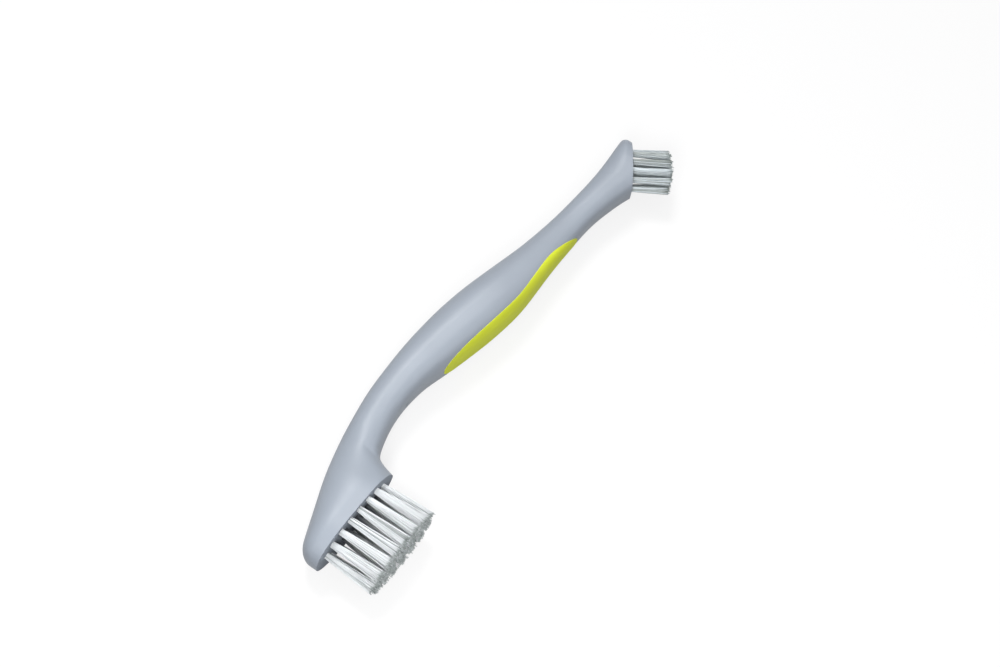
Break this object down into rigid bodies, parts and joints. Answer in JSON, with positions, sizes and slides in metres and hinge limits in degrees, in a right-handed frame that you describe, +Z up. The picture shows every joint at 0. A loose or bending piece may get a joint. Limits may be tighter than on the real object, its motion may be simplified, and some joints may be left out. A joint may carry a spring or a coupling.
{
  "type": "double-ended dish brush",
  "caption": "Dish brush with a curved moulded handle, a soft grip let into its belly, a big oval head of long bristle tufts at one end and a small slanted head of short tufts at the other.",
  "frame": {"origin": "middle of the flat on the lower side of the big head, on which the brush lies", "axes": "+X along the big bristle face towards the small head, +Y towards the back of the brush, away from the bristles, +Z up, across the width of the brush as it lies on its side"},
  "size_m": [0.2254, 0.0494, 0.022],
  "materials": {
    "handle_plastic": "satin",
    "grip_rubber": "matt, lime green",
    "bristle_nylon": "translucent white bristle, flat cut",
    "anchor_brass": "plain strip"
  },
  "bodies": {
    "root": {"handle_body": "handle_plastic", "soft_grip": "grip_rubber", "main_tuft_01": "bristle_nylon", "main_tuft_02": "bristle_nylon", "main_tuft_03": "bristle_nylon", "main_tuft_04": "bristle_nylon", "main_tuft_05": "bristle_nylon", "main_tuft_06": "bristle_nylon", "main_tuft_07": "bristle_nylon", "main_tuft_08": "bristle_nylon", "main_tuft_09": "bristle_nylon", "main_tuft_10": "bristle_nylon", "main_tuft_11": "bristle_nylon", "main_tuft_12": "bristle_nylon", "main_tuft_13": "bristle_nylon", "main_tuft_14": "bristle_nylon", "main_tuft_15": "bristle_nylon", "main_tuft_16": "bristle_nylon", "main_tuft_17": "bristle_nylon", "main_tuft_18": "bristle_nylon", "main_tuft_19": "bristle_nylon", "main_tuft_20": "bristle_nylon", "main_tuft_21": "bristle_nylon", "main_tuft_22": "bristle_nylon", "main_tuft_23": "bristle_nylon", "main_anchor_01": "anchor_brass", "main_anchor_02": "anchor_brass", "main_anchor_03": "anchor_brass", "main_anchor_04": "anchor_brass", "main_anchor_05": "anchor_brass", "main_anchor_06": "anchor_brass", "main_anchor_07": "anchor_brass", "main_anchor_08": "anchor_brass", "main_anchor_09": "anchor_brass", "main_anchor_10": "anchor_brass", "main_anchor_11": "anchor_brass", "main_anchor_12": "anchor_brass", "main_anchor_13": "anchor_brass", "main_anchor_14": "anchor_brass", "main_anchor_15": "anchor_brass", "main_anchor_16": "anchor_brass", "main_anchor_17": "anchor_brass", "main_anchor_18": "anchor_brass", "main_anchor_19": "anchor_brass", "main_anchor_20": "anchor_brass", "main_anchor_21": "anchor_brass", "main_anchor_22": "anchor_brass", "main_anchor_23": "anchor_brass", "tip_tuft_01": "bristle_nylon", "tip_tuft_02": "bristle_nylon", "tip_tuft_03": "bristle_nylon", "tip_tuft_04": "bristle_nylon", "tip_tuft_05": "bristle_nylon", "tip_tuft_06": "bristle_nylon", "tip_tuft_07": "bristle_nylon", "tip_tuft_08": "bristle_nylon", "tip_tuft_09": "bristle_nylon", "tip_tuft_10": "bristle_nylon", "tip_tuft_11": "bristle_nylon", "tip_tuft_12": "bristle_nylon"}
  },
  "joints": []
}
